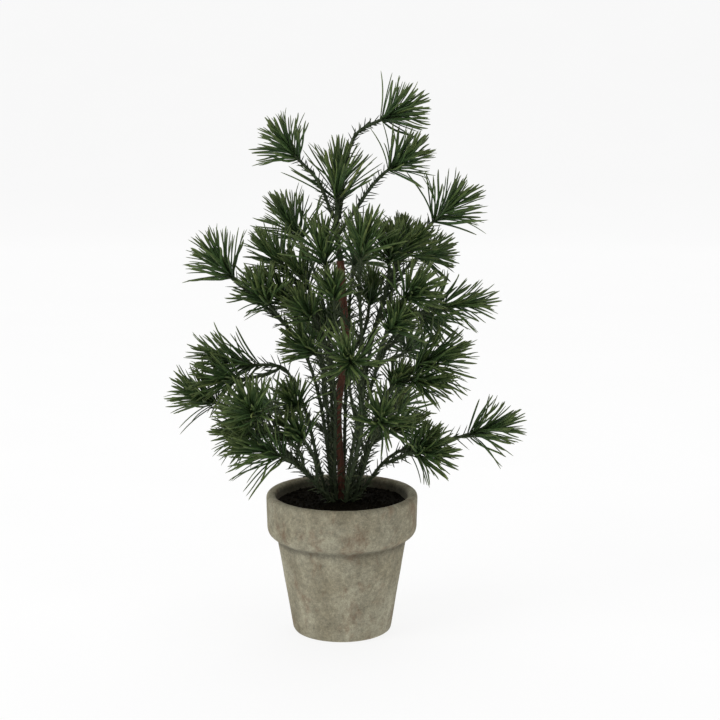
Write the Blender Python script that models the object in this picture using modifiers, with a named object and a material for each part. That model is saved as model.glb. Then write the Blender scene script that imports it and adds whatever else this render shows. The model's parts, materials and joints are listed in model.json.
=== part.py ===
"""Artificial tabletop pine: a cement pot, a filled and weighted foot, a trunk and bendable sprigs.

Metres, +Z up. The origin is the centre of the pot's flat underside, +Y points to the back.
Every branch hangs on an empty at its foot, whose local Y axis is the branch's hinge axis:
a positive turn leans the branch outwards.
"""
import math
from collections import namedtuple

import bmesh
import bpy
from mathutils import Matrix, Vector

MM = 0.001
CLEARANCE = 0.3 * MM
HINGE_CLEARANCE = 1.0 * MM
FILLING_CLEARANCE = 0.6 * MM

# Pot
POT_HEIGHT = 112 * MM
RIM_RADIUS = 60 * MM
RIM_INNER_RADIUS = 53 * MM
RIM_BAND_RADIUS = 59.3 * MM
BAND_EDGE_HEIGHT = 85 * MM
BAND_EDGE_ROUNDING = 8 * MM
NECK_RADIUS = 51.2 * MM
NECK_HEIGHT = 75 * MM
BASE_RADIUS = 39.3 * MM
BASE_ROUNDING = 2.5 * MM
RIM_ROUNDING = 3 * MM
FLOOR_THICKNESS = 10 * MM
FLOOR_RADIUS = 33 * MM
WALL_SLOPE = (RIM_INNER_RADIUS - FLOOR_RADIUS) / (POT_HEIGHT - FLOOR_THICKNESS)
ROUND_STEPS = 40

# Filling
PLUG_TOP = 97 * MM
SOIL_TOP = 104.5 * MM
BUNDLE_RADIUS = 12.5 * MM
BUNDLE_BOTTOM = 60 * MM
BUNDLE_TOP = 106 * MM
BUNDLE_STEPS = 24

# Trunk: a steel wire in a brown sleeve
CORE_RADIUS = 1.1 * MM
CORE_BOTTOM = 20 * MM
SLEEVE_RADIUS = 3.1 * MM
SLEEVE_BOTTOM = 60.5 * MM
TRUNK_TOP = 298 * MM
TRUNK_WAVES = ((0, 0), (112, 0), (174, -3), (234, 3), (284, 0.5), (298, -1))
TRUNK_STEP = 20 * MM
LEADER_WAVES = ((298, -1), (322, -3.5), (347, -3))

# Sprigs
STEM_RADIUS = 1.3 * MM
LEADER_STEM_RADIUS = 2.0 * MM
TUFT_RADIUS = 7.5 * MM
STEM_STEPS = 7
INNER_RING = 6.5
OUTER_RING = 11
# The tuft's outline: share of its length, share of its full radius
TUFT_OUTLINE = ((0.12, 0.40), (0.30, 0.75), (0.55, 1.0), (0.80, 0.90), (0.95, 0.55), (1.0, 0.25))

# base: azimuth in degrees, reach from the pot's axis and height in mm, where the needles begin
# heading and tilt: the way the tuft points, in degrees; length of the tuft in mm
# leaves: the share of the main stem where a side sprig starts; via: a point that the stem passes
Sprig = namedtuple("Sprig", "base heading tilt length leaves via", defaults=(None, None))
# foot: radius of its ring and azimuth, or the height on the leader's stem and azimuth
# lean: the angle at which the stem leaves its foot, in degrees from upright
Branch = namedtuple("Branch", "foot lean main sides crown", defaults=((), False))

LEADER = Sprig((180, 3, 347), 0, 88, 47)
BRANCHES = {
    "crown_high": Branch((333, 60), 12, Sprig((4, 32, 406), 10, 27, 39, via=(52, 15, 390)), crown=True),
    "crown_right": Branch((322, -20), 40, Sprig((-12, 38, 369), -15, 35, 38), crown=True),
    "crown_left": Branch(
        (334, 190), 24, Sprig((-173, 34, 377), -171, 50, 38, via=(-170, 18, 359)), crown=True),
    "upper_right": Branch(
        (INNER_RING, 8), 10, Sprig((6, 73, 328), 7, 40, 44),
        (Sprig((29, 52, 304), 68, 73, 29, 0.70), Sprig((18, 64, 297), 44, 6, 35, 0.72),
         Sprig((1, 48, 303), -13, 48, 32, 0.60))),
    "upper_back": Branch(
        (INNER_RING, 80), 10, Sprig((80, 58, 285), 83, 20, 42),
        (Sprig((47, 76, 215), 74, 12, 40, 0.45), Sprig((45, 31, 260), 52, 81, 32, 0.55))),
    "upper_rear_left": Branch(
        (INNER_RING, 135), 10, Sprig((132, 51, 310), 164, 58, 43),
        (Sprig((167, 46, 291), 162, 49, 39, 0.65), Sprig((120, 18, 238), 60, 72, 32, 0.40),
         Sprig((171, 26, 275), -159, 63, 38, 0.55))),
    "upper_left": Branch(
        (INNER_RING, 185), 8, Sprig((-173, 85, 287), -176, 50, 42, via=(-165, 30, 227)),
        (Sprig((-165, 58, 266), -144, 50, 37, 0.64), Sprig((-173, 42, 263), -165, 57, 35, 0.54))),
    "upper_front": Branch(
        (INNER_RING, -65), 8, Sprig((-66, 38, 306), -44, 80, 41, via=(-45, 23, 202)),
        (Sprig((-116, 28, 299), -126, 76, 40, 0.69), Sprig((-18, 39, 298), -90, 64, 36, 0.64),
         Sprig((-98, 38, 272), -109, 77, 29, 0.51))),
    "middle_right": Branch(
        (INNER_RING, -30), 12, Sprig((-4, 77, 262), 4, 5, 48),
        (Sprig((-30, 56, 272), -45, 30, 38, 0.60), Sprig((14, 64, 252), 49, -20, 39, 0.66),
         Sprig((-41, 49, 248), -25, 50, 30, 0.50))),
    "inner_left": Branch(
        (INNER_RING, 230), 8, Sprig((-136, 31, 256), -156, 54, 33),
        (Sprig((-140, 27, 228), -150, 34, 34, 0.45),)),
    "front": Branch((OUTER_RING, -72), 24, Sprig((-82, 59, 227), -98, 30, 42, via=(-61, 34, 177))),
    "lower_right": Branch(
        (OUTER_RING, 28), 18, Sprig((-8, 59, 215), -10, 26, 50),
        (Sprig((-20, 59, 207), -25, -1, 36, 0.60), Sprig((14, 42, 160), 29, 15, 33, 0.35),
         Sprig((-19, 43, 202), -30, 58, 24, 0.58))),
    "low_right": Branch(
        (OUTER_RING, 0), 42, Sprig((-3, 100, 160), -6, 18, 44, via=(-4, 42, 144)),
        (Sprig((-23, 63, 150), -28, 6, 36, 0.40), Sprig((-15, 56, 149), -20, 39, 33, 0.55))),
    "low_front": Branch((OUTER_RING, -35), 27, Sprig((-51, 46, 176), -80, 29, 42)),
    "middle_left": Branch(
        (OUTER_RING, 170), 20, Sprig((-177, 81, 217), -174, 21, 44, via=(-177, 42, 209)),
        (Sprig((-168, 82, 207), -160, 3, 40, 0.62),)),
    "lower_left": Branch(
        (OUTER_RING, 198), 34, Sprig((-174, 99, 187), -171, 27, 41),
        (Sprig((-155, 67, 181), -156, 6, 40, 0.50), Sprig((-157, 36, 183), -134, 50, 30, 0.35),
         Sprig((-167, 64, 164), -168, 1, 42, 0.36))),
    "low_left": Branch(
        (OUTER_RING, 232), 50, Sprig((-144, 58, 150), -155, 24, 49, via=(-145, 35, 133)),
        (Sprig((-140, 84, 186), -126, 48, 38, 0.60), Sprig((-135, 42, 162), -153, 47, 32, 0.35))),
    "rear_left": Branch(
        (OUTER_RING, 120), 25, Sprig((110, 59, 225), 102, 14, 40),
        (Sprig((133, 81, 165), 122, 4, 40, 0.35),)),
    "rear_right": Branch(
        (OUTER_RING, 62), 34, Sprig((60, 88, 162), 75, 8, 42),
        (Sprig((86, 64, 192), 95, 28, 40, 0.40),)),
}


def clear_scene():
    for item in list(bpy.data.objects):
        bpy.data.objects.remove(item, do_unlink=True)


def collection(name):
    group = bpy.data.collections.new(name)
    bpy.context.scene.collection.children.link(group)
    return group


def material(name, colour, roughness, metallic=0.0):
    finish = bpy.data.materials.new(name)
    finish.use_nodes = True
    shader = finish.node_tree.nodes["Principled BSDF"]
    shader.inputs["Base Color"].default_value = (*colour, 1)
    shader.inputs["Roughness"].default_value = roughness
    shader.inputs["Metallic"].default_value = metallic
    return finish


def polar(azimuth, reach, height):
    """A point in metres from degrees and millimetres."""
    turn = math.radians(azimuth)
    return Vector((reach * math.cos(turn), reach * math.sin(turn), height)) * MM


def heading(azimuth, tilt):
    rise = math.radians(tilt)
    turn = math.radians(azimuth)
    return Vector((math.cos(rise) * math.cos(turn), math.cos(rise) * math.sin(turn), math.sin(rise)))


def arc(centre_r, centre_z, radius, start, end, steps=3):
    """Points of a round stretch of a turned outline, from one angle to another, in degrees."""
    angles = [math.radians(start + (end - start) * i / steps) for i in range(steps + 1)]
    return [(centre_r + radius * math.cos(a), centre_z + radius * math.sin(a)) for a in angles]


def add(mesh_or_curve, name, finish, parent=None):
    mesh_or_curve.materials.append(finish)
    piece = bpy.data.objects.new(name, mesh_or_curve)
    PARTS.objects.link(piece)
    piece.parent = parent
    return piece


def turned(name, outline, steps, finish):
    """Turn an outline round Z. It runs down its outer side, from top to bottom."""
    mesh = bpy.data.meshes.new(name)
    edges = [(i, i + 1) for i in range(len(outline) - 1)]
    mesh.from_pydata([(r, 0, z) for r, z in outline], edges, [])
    piece = add(mesh, name, finish)
    screw = piece.modifiers.new("turn", "SCREW")
    screw.steps = steps
    screw.render_steps = steps
    screw.use_merge_vertices = True
    screw.merge_threshold = 0.00005
    screw.use_smooth_shade = True
    return piece


def tube(name, points, radii, finish, parent=None, sides=8):
    """A round rod along points, whose radius may change from point to point."""
    curve = bpy.data.curves.new(name, "CURVE")
    curve.dimensions = "3D"
    curve.bevel_depth = max(radii)
    curve.bevel_resolution = sides // 2 - 2
    curve.use_fill_caps = True
    spline = curve.splines.new("POLY")
    spline.points.add(len(points) - 1)
    for knot, point, radius in zip(spline.points, points, radii):
        knot.co = (*point, 1)
        knot.radius = radius / max(radii)
    spline.use_smooth = True
    return add(curve, name, finish, parent)


def as_mesh(piece):
    """Swap a curve object for a welded mesh object of the same name and place."""
    bpy.context.view_layer.update()
    source = piece.evaluated_get(bpy.context.evaluated_depsgraph_get())
    mesh = bpy.data.meshes.new_from_object(source)
    work = bmesh.new()
    work.from_mesh(mesh)
    bmesh.ops.remove_doubles(work, verts=work.verts, dist=0.00001)
    work.to_mesh(mesh)
    work.free()
    name = piece.name
    world = piece.matrix_world.copy()
    bpy.data.objects.remove(piece, do_unlink=True)
    solid = bpy.data.objects.new(name, mesh)
    solid.matrix_world = world
    PARTS.objects.link(solid)
    return solid


def bore_out(piece, cutter):
    """Cut one solid with another and keep the cutter aside as a guide."""
    PARTS.objects.unlink(cutter)
    GUIDES.objects.link(cutter)
    cutter.hide_render = True
    cutter.display_type = "WIRE"
    cut = piece.modifiers.new("bore", "BOOLEAN")
    cut.operation = "DIFFERENCE"
    cut.solver = "EXACT"
    cut.object = cutter


def hermite(start, start_way, end, end_way, share):
    """A point on the smooth curve that leaves one point in one direction and meets another."""
    span = (end - start).length
    s = share
    return (
        start * (2 * s**3 - 3 * s**2 + 1)
        + start_way * (span * (s**3 - 2 * s**2 + s))
        + end * (3 * s**2 - 2 * s**3)
        + end_way * (span * (s**3 - s**2))
    )


def stem_points(start, start_way, sprig):
    """The stem's centre line, from its start to where its needles begin."""
    knots = [start] + ([polar(*sprig.via)] if sprig.via else []) + [polar(*sprig.base)]
    ways = [start_way]
    ways += [(after - before).normalized() for before, after in zip(knots, knots[2:])]
    ways.append(heading(sprig.heading, sprig.tilt))
    shares = [i / STEM_STEPS for i in range(1, STEM_STEPS + 1)]
    points = [start]
    for a, way_a, b, way_b in zip(knots, ways, knots[1:], ways[1:]):
        points += [hermite(a, way_a, b, way_b, share) for share in shares]
    return points


def sprig_tube(name, stem, sprig, parent, stem_radius=STEM_RADIUS):
    """One moulded sprig: a thin stem that opens into the space its needles fill."""
    way = heading(sprig.heading, sprig.tilt)
    length = sprig.length * MM
    points = stem + [stem[-1] + way * (length * along) for along, _ in TUFT_OUTLINE]
    radii = [stem_radius] * len(stem) + [TUFT_RADIUS * share for _, share in TUFT_OUTLINE]
    local = parent.matrix_world.inverted() if parent else Matrix()
    return tube(name, [local @ p for p in points], radii, NEEDLE_GREEN, parent, sides=6)


def along_waves(waves, bottom, top):
    """Points up a slightly wavy trunk, at its ends and at every whole step of height between."""
    first = math.floor(bottom / TRUNK_STEP) + 1
    last = math.ceil(top / TRUNK_STEP)
    heights = [bottom] + [TRUNK_STEP * i for i in range(first, last)] + [top]
    return [Vector((wave_offset(waves, z), 0, z)) for z in heights]


def wave_offset(waves, z):
    """Sideways offset of a trunk at a height, eased between the given heights and offsets in mm."""
    height = z / MM
    for (low, x_low), (high, x_high) in zip(waves, waves[1:]):
        if height <= high:
            break
    share = min(max((height - low) / (high - low), 0), 1)
    ease = share * share * (3 - 2 * share)
    return (x_low + (x_high - x_low) * ease) * MM


def hinge(name, foot, azimuth):
    """An empty at a branch's foot; its local Y axis is the hinge axis."""
    empty = bpy.data.objects.new(name + "_hinge", None)
    empty.empty_display_size = 0.01
    PARTS.objects.link(empty)
    empty.matrix_world = Matrix.Translation(foot) @ Matrix.Rotation(math.radians(azimuth), 4, "Z")
    return empty


def build_pot():
    inner_edge = RIM_INNER_RADIUS - WALL_SLOPE * RIM_ROUNDING
    outline = [(0, FLOOR_THICKNESS), (FLOOR_RADIUS - BASE_ROUNDING, FLOOR_THICKNESS)]
    outline += [(FLOOR_RADIUS, FLOOR_THICKNESS + BASE_ROUNDING)]
    outline += arc(inner_edge + RIM_ROUNDING, POT_HEIGHT - RIM_ROUNDING, RIM_ROUNDING, 180, 90)
    outline += arc(RIM_RADIUS - RIM_ROUNDING, POT_HEIGHT - RIM_ROUNDING, RIM_ROUNDING, 90, 0)
    band_centre = RIM_BAND_RADIUS - BAND_EDGE_ROUNDING
    outline += arc(band_centre, BAND_EDGE_HEIGHT, BAND_EDGE_ROUNDING, 0, -60)
    outline += [(NECK_RADIUS, NECK_HEIGHT)]
    outline += arc(BASE_RADIUS - BASE_ROUNDING, BASE_ROUNDING, BASE_ROUNDING, 0, -90)
    outline += [(0, 0)]
    turned("pot", outline, ROUND_STEPS, CEMENT)


def inner_radius(z):
    """Radius of what fills the pot at a height: its inner wall, less the clearance."""
    return FLOOR_RADIUS + WALL_SLOPE * (z - FLOOR_THICKNESS) - FILLING_CLEARANCE


def build_filling():
    low = FLOOR_THICKNESS + 2 * BASE_ROUNDING
    socket = BUNDLE_RADIUS + CLEARANCE
    bore = CORE_RADIUS + CLEARANCE
    plug = [(0, CORE_BOTTOM - CLEARANCE), (bore, CORE_BOTTOM - CLEARANCE)]
    plug += [(bore, BUNDLE_BOTTOM - CLEARANCE), (socket, BUNDLE_BOTTOM - CLEARANCE), (socket, PLUG_TOP)]
    plug += [(inner_radius(PLUG_TOP), PLUG_TOP), (inner_radius(low), low)]
    plug += [(FLOOR_RADIUS - 2 * BASE_ROUNDING, FLOOR_THICKNESS + CLEARANCE)]
    plug += [(0, FLOOR_THICKNESS + CLEARANCE)]
    turned("foam_plug", plug, ROUND_STEPS, FOAM)

    soil_bottom = PLUG_TOP + CLEARANCE
    soil = [(socket, soil_bottom), (socket, SOIL_TOP), (inner_radius(SOIL_TOP), SOIL_TOP)]
    soil += [(inner_radius(soil_bottom), soil_bottom), (socket, soil_bottom)]
    turned("soil_layer", soil, ROUND_STEPS, SOIL)

    sleeve_bore = SLEEVE_RADIUS + CLEARANCE
    crown = BUNDLE_TOP - BASE_ROUNDING
    bundle = [(sleeve_bore, BUNDLE_BOTTOM), (sleeve_bore, BUNDLE_TOP)]
    bundle += arc(BUNDLE_RADIUS - BASE_ROUNDING, crown, BASE_ROUNDING, 90, 0)
    bundle += [(BUNDLE_RADIUS, BUNDLE_BOTTOM), (sleeve_bore, BUNDLE_BOTTOM)]
    turned("root_bundle", bundle, BUNDLE_STEPS, TAPE)


def build_trunk():
    core = along_waves(TRUNK_WAVES, CORE_BOTTOM, TRUNK_TOP - 1 * MM)
    tube("trunk_wire", core, [CORE_RADIUS] * len(core), STEEL)
    sleeve_line = along_waves(TRUNK_WAVES, SLEEVE_BOTTOM, TRUNK_TOP)
    sleeve = as_mesh(tube("trunk_sleeve", sleeve_line, [SLEEVE_RADIUS] * len(sleeve_line), BARK))
    cutter_line = along_waves(TRUNK_WAVES, CORE_BOTTOM, TRUNK_TOP + 5 * MM)
    cutter = tube("sleeve_bore", cutter_line, [CORE_RADIUS + CLEARANCE] * len(cutter_line), BARK)
    bore_out(sleeve, as_mesh(cutter))

    base = LEADER.base[2] * MM
    stem = along_waves(LEADER_WAVES, TRUNK_TOP + CLEARANCE, base)
    sprig_tube("leader_sprig", stem, LEADER, None, LEADER_STEM_RADIUS)


def branch_foot(branch):
    """Where a branch's hinge is: on a ring over the root bundle, or beside the leader's stem."""
    place, azimuth = branch.foot
    if not branch.crown:
        return polar(azimuth, place, BUNDLE_TOP / MM) + Vector((0, 0, HINGE_CLEARANCE))
    centre = Vector((wave_offset(LEADER_WAVES, place * MM), 0, place * MM))
    offset = LEADER_STEM_RADIUS + STEM_RADIUS + HINGE_CLEARANCE
    return centre + heading(azimuth, 0) * offset


def build_branch(name, branch):
    foot = branch_foot(branch)
    azimuth = branch.main.base[0]
    pivot = hinge(name, foot, azimuth)
    way = heading(branch.foot[1] if branch.crown else azimuth, 90 - branch.lean)
    main = stem_points(foot, way, branch.main)
    sprig_tube(name + "_main_sprig", main, branch.main, pivot)
    for number, side in enumerate(branch.sides, 1):
        place = side.leaves * (len(main) - 1)
        index = int(place)
        on_main = main[index].lerp(main[index + 1], place - index)
        along = (main[index + 1] - main[index]).normalized()
        to_base = (polar(*side.base) - on_main).normalized()
        away = (to_base - along * to_base.dot(along)).normalized()
        start = on_main + away * (2 * STEM_RADIUS + CLEARANCE)
        stem = stem_points(start, (along + away).normalized(), side)
        sprig_tube(f"{name}_side_sprig_{number}", stem, side, pivot)


clear_scene()
PARTS = collection("tabletop_tree")
GUIDES = collection("cutters")

CEMENT = material("cement", (0.262, 0.242, 0.184), 0.92)
FOAM = material("foam", (0.05, 0.11, 0.05), 0.95)
SOIL = material("soil", (0.016, 0.011, 0.008), 1.0)
TAPE = material("floral_tape", (0.025, 0.028, 0.018), 0.8)
STEEL = material("steel_wire", (0.45, 0.45, 0.45), 0.4, 1.0)
BARK = material("brown_sleeve", (0.085, 0.022, 0.014), 0.6)
NEEDLE_GREEN = material("needle_green", (0.012, 0.042, 0.012), 0.5)

build_pot()
build_filling()
build_trunk()
for branch_name, branch_design in BRANCHES.items():
    build_branch(branch_name, branch_design)
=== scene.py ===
# %% [markdown]
# # A tabletop pine in a cement pot
# This lesson dresses a finished mechanical model of a small artificial pine. The model already
# holds every piece at its real size and place: the pot, its filling, the trunk and the sprigs.
# Each sprig is only a thin rod that swells where its needles are. Here every one becomes a
# moulded stem with scales and flat needles, and every surface gets a finish of its own.
# The measures come from the loaded model, so the tree never drifts away from its joints.

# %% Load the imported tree
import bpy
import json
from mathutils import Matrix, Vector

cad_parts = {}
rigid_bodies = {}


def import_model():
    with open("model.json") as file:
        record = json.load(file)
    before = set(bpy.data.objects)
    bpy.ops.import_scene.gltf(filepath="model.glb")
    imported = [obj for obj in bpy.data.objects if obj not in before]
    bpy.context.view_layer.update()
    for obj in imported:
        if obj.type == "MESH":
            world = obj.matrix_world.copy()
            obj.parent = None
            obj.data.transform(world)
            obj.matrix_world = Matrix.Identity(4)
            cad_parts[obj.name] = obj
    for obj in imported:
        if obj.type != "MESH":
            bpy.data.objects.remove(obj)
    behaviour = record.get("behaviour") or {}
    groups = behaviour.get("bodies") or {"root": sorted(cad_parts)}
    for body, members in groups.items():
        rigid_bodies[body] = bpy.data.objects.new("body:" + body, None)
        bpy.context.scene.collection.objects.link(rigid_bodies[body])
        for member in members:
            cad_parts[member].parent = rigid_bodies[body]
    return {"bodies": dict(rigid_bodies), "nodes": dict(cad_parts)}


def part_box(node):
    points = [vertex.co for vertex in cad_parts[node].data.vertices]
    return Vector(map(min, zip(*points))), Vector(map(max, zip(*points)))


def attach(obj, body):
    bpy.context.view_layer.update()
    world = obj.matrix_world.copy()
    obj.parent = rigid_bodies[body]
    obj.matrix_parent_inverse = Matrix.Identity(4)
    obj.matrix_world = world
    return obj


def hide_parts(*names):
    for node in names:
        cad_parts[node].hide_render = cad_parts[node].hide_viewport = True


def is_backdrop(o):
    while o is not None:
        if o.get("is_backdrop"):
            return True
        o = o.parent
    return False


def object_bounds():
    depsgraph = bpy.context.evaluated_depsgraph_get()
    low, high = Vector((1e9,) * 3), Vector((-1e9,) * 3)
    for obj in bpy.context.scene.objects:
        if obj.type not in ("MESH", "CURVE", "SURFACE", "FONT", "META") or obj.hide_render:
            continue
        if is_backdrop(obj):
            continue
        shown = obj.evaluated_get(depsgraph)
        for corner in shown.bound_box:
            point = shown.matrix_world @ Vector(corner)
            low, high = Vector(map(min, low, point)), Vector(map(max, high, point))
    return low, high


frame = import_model()
cad_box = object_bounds()

# %% [markdown]
# ## Tools of the lesson
# The model is measured in metres, and small things are easier to write in millimetres. Disorder
# makes a tree look grown, but it has to be the same in every run, so each piece draws its random
# numbers from a generator that is named after it.

# %% Tools of the lesson
import json
import math
import zlib

import bmesh
import bpy
import numpy as np
from mathutils import Vector, noise

MM = 0.001


def dice(name):
    """Random numbers that are the same in every run for the same name."""
    return np.random.default_rng(zlib.crc32(name.encode()))


def unit(vectors):
    """Vectors scaled to length one; works on one vector or on a whole table."""
    vectors = np.asarray(vectors, float)
    return vectors / np.maximum(np.linalg.norm(vectors, axis=-1, keepdims=True), 1e-12)


print("overall size in mm", [round(v / MM) for v in cad_box[1] - cad_box[0]])

# %% [markdown]
# ## The studio
# A product like this is shown on a seamless pale floor that curves up behind it, under large
# soft lamps. A long lens keeps the pot's sides nearly straight. The camera looks slightly down,
# so that the soil shows inside the rim, and it is placed from the height of the pot's rim.

# %% Camera
RIM_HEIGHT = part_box("pot")[1].z
CAMERA_RANGE = 1.5
CAMERA_PITCH = math.radians(11.2)
CAMERA_SIDE = 0.0144
CAMERA_LENS = 94.35
CAMERA_RISE = math.radians(15.2)

camera_data = bpy.data.cameras.new("studio_camera")
camera_data.lens = CAMERA_LENS
camera_data.sensor_width = 36
camera = bpy.data.objects.new("studio_camera", camera_data)
bpy.context.scene.collection.objects.link(camera)
camera.location = (
    CAMERA_SIDE,
    -CAMERA_RANGE * math.cos(CAMERA_RISE),
    RIM_HEIGHT + CAMERA_RANGE * math.sin(CAMERA_RISE),
)
camera.rotation_euler = (math.pi / 2 - CAMERA_PITCH, 0, 0)
bpy.context.scene.camera = camera
print("camera at", [round(v, 3) for v in camera.location])

# %% [markdown]
# ### A finish to start from
# Every material starts with the same physically based shader, which covers plastic, cement, paper
# and steel alike. Only its roughness and whether it is a metal are set here, and each finish then
# adds its own pattern.

# %% Start of a finish


def node_material(name, roughness, metallic=0.0):
    """A new material, its node tree and its Principled shader."""
    finish = bpy.data.materials.new(name)
    finish.use_nodes = True
    tree = finish.node_tree
    shader = tree.nodes["Principled BSDF"]
    shader.inputs["Roughness"].default_value = roughness
    shader.inputs["Metallic"].default_value = metallic
    return finish, tree, shader


print("finishes start from", node_material.__name__)

# %% [markdown]
# ### Seamless floor
# Paper that curves up behind the object leaves no edge to be seen. Lamps alone could make it
# white, but they would bleach the object as well, so the paper gives off some light of its own.

# %% Floor
FLOOR_HALF = 3.0
FLOOR_BACK = 2.2
SWEEP_RADIUS = 0.8
SWEEP_STEPS = 16
BACKDROP_HEIGHT = 3.0
PAPER_GREYS = (0.12, 0.14)
PAPER_GRAIN = 40
FLOOR_GLOW = 0.845


def build_floor():
    """A floor that bends up into a backdrop, as one sheet."""
    profile = [(-FLOOR_BACK, 0.0)]
    for i in range(SWEEP_STEPS + 1):
        turn = math.pi / 2 * i / SWEEP_STEPS
        profile.append((FLOOR_BACK + SWEEP_RADIUS * math.sin(turn), SWEEP_RADIUS * (1 - math.cos(turn))))
    profile.append((FLOOR_BACK + SWEEP_RADIUS, BACKDROP_HEIGHT))
    points = [(x, y, z) for y, z in profile for x in (-FLOOR_HALF, FLOOR_HALF)]
    faces = [(2 * i, 2 * i + 1, 2 * i + 3, 2 * i + 2) for i in range(len(profile) - 1)]
    mesh = bpy.data.meshes.new("studio_floor")
    mesh.from_pydata(points, [], faces)
    mesh.shade_smooth()
    floor = bpy.data.objects.new("studio_floor", mesh)
    bpy.context.scene.collection.objects.link(floor)
    finish, tree, shader = node_material("floor_paper", 0.9)
    grain = tree.nodes.new("ShaderNodeTexNoise")
    grain.inputs["Scale"].default_value = PAPER_GRAIN
    tone = tree.nodes.new("ShaderNodeValToRGB")
    for element, grey in zip(tone.color_ramp.elements, PAPER_GREYS):
        element.color = (grey, grey, grey, 1)
    tree.links.new(grain.outputs["Fac"], tone.inputs["Fac"])
    tree.links.new(tone.outputs["Color"], shader.inputs["Base Color"])
    shader.inputs["Emission Color"].default_value = (1, 1, 1, 1)
    shader.inputs["Emission Strength"].default_value = FLOOR_GLOW
    mesh.materials.append(finish)
    floor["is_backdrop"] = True
    return floor


print("floor of", len(build_floor().data.polygons), "strips")

# %% [markdown]
# ### Soft lamps
# A small lamp would draw a hard shadow of every needle. Three large ones, the strongest on the
# left, wrap the round pot in soft light, and the pale air of the room fills what they leave dark.

# %% Lamps
AIR_GLOW = 0.4
# name, place, width and power of each lamp
LAMPS = (
    ("key_softbox", (-1.6, -1.0, 1.35), 1.1, 17.5),
    ("fill_softbox", (1.5, -1.2, 0.9), 1.2, 5),
    ("top_softbox", (0.1, 0.3, 1.7), 1.2, 8),
)


def lamp(name, place, aim, size, power):
    """A square soft box that faces a point."""
    data = bpy.data.lights.new(name, "AREA")
    data.size = size
    data.energy = power
    thing = bpy.data.objects.new(name, data)
    thing.location = place
    thing.rotation_euler = (Vector(aim) - Vector(place)).to_track_quat("-Z", "Y").to_euler()
    bpy.context.scene.collection.objects.link(thing)


middle = (cad_box[0] + cad_box[1]) / 2
for name, place, size, power in LAMPS:
    lamp(name, place, middle, size, power)
world = bpy.data.worlds.new("studio_air")
bpy.context.scene.world = world
world.use_nodes = True
world.node_tree.nodes["Background"].inputs["Color"].default_value = (1, 1, 1, 1)
world.node_tree.nodes["Background"].inputs["Strength"].default_value = AIR_GLOW
bpy.context.scene.view_settings.view_transform = "Standard"

# %% [markdown]
# ## Finishes
# Real surfaces are never one even colour. Cement is mottled and full of pores, soft plastic
# needles pale towards their tips, and soil is a mix of grains. Each finish below is built from
# noise in the object's own metres, so the pattern has a true scale and needs no unwrapping.

# %% Patterns and stored numbers


def pattern(tree, kind, scale, detail=3.0, stretch=(1, 1, 1), **sockets):
    """A noise or cell texture in object metres; stretch over 1 squeezes it along that axis."""
    place = tree.nodes.new("ShaderNodeTexCoord")
    fit = tree.nodes.new("ShaderNodeMapping")
    fit.inputs["Scale"].default_value = stretch
    texture = tree.nodes.new(kind)
    texture.inputs["Scale"].default_value = scale
    if "Detail" in texture.inputs:
        texture.inputs["Detail"].default_value = detail
    for name, value in sockets.items():
        texture.inputs[name].default_value = value
    tree.links.new(place.outputs["Object"], fit.inputs["Vector"])
    tree.links.new(fit.outputs["Vector"], texture.inputs["Vector"])
    return texture


def stored(tree, name):
    """The number that the mesh stores on each point under this name."""
    reader = tree.nodes.new("ShaderNodeAttribute")
    reader.attribute_name = name
    return reader.outputs["Fac"]


print("pattern sources:", pattern.__name__, stored.__name__)

# %% [markdown]
# ### From numbers to colour
# A texture gives a number between nought and one. A ramp turns it into a colour or a grey, and a
# grey can darken or lighten another colour. Nearly every finish is made from these three steps.

# %% Colours


def ramp(tree, source, *stops):
    """Turn a value into colours or greys: stops are (position, colour or grey)."""
    scale = tree.nodes.new("ShaderNodeValToRGB")
    elements = scale.color_ramp.elements
    while len(elements) < len(stops):
        elements.new(0.5)
    for element, (position, colour) in zip(elements, stops):
        element.position = position
        element.color = (colour,) * 3 + (1,) if isinstance(colour, (int, float)) else (*colour, 1)
    tree.links.new(source, scale.inputs["Fac"])
    return scale.outputs["Color"]


def blend_colour(tree, share, first, second, mode="MIX"):
    """Mix two colours; the share and the colours are sockets or plain values."""
    mix = tree.nodes.new("ShaderNodeMix")
    mix.data_type = "RGBA"
    mix.blend_type = mode
    sockets = {socket.identifier: socket for socket in mix.inputs}
    for name, value in (("Factor_Float", share), ("A_Color", first), ("B_Color", second)):
        if isinstance(value, bpy.types.NodeSocket):
            tree.links.new(value, sockets[name])
        elif isinstance(value, tuple):
            sockets[name].default_value = (*value, 1)
        else:
            sockets[name].default_value = value
    return {socket.identifier: socket for socket in mix.outputs}["Result_Color"]


def shade(tree, colour, source, low, high, start=0.3, end=0.7):
    """Darken and lighten a colour by a pattern: low and high are the factors at its ends."""
    return blend_colour(tree, 1.0, colour, ramp(tree, source, (start, low), (end, high)), "MULTIPLY")


print("colour steps:", ramp.__name__, blend_colour.__name__, shade.__name__)

# %% [markdown]
# ### Relief
# Marks too fine to be modelled still catch the light. Bump nodes tilt the surface without moving
# it, and one behind the other they add coarse and fine marks.

# %% Relief


def relief(tree, shader, *layers):
    """Chain bumps into the shader's normal: layers are (height socket, depth in metres)."""
    before = None
    for height, depth in layers:
        bump = tree.nodes.new("ShaderNodeBump")
        bump.inputs["Strength"].default_value = 1.0
        bump.inputs["Distance"].default_value = depth
        tree.links.new(height, bump.inputs["Height"])
        if before is not None:
            tree.links.new(before, bump.inputs["Normal"])
        before = bump.outputs["Normal"]
    tree.links.new(before, shader.inputs["Normal"])


print("relief in layers:", relief.__name__)

# %% [markdown]
# ### Cement
# The pot is cast and left raw. Its colour drifts between warm beige and grey over a few
# centimetres, finer clouds and grain cover all of it, small pores are darker, and faint stains
# have the colour of rust. Thin upright streaks are left by the mould. A painted picture could
# show all this, but layers of noise need no picture and have no seam round the pot.

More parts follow.
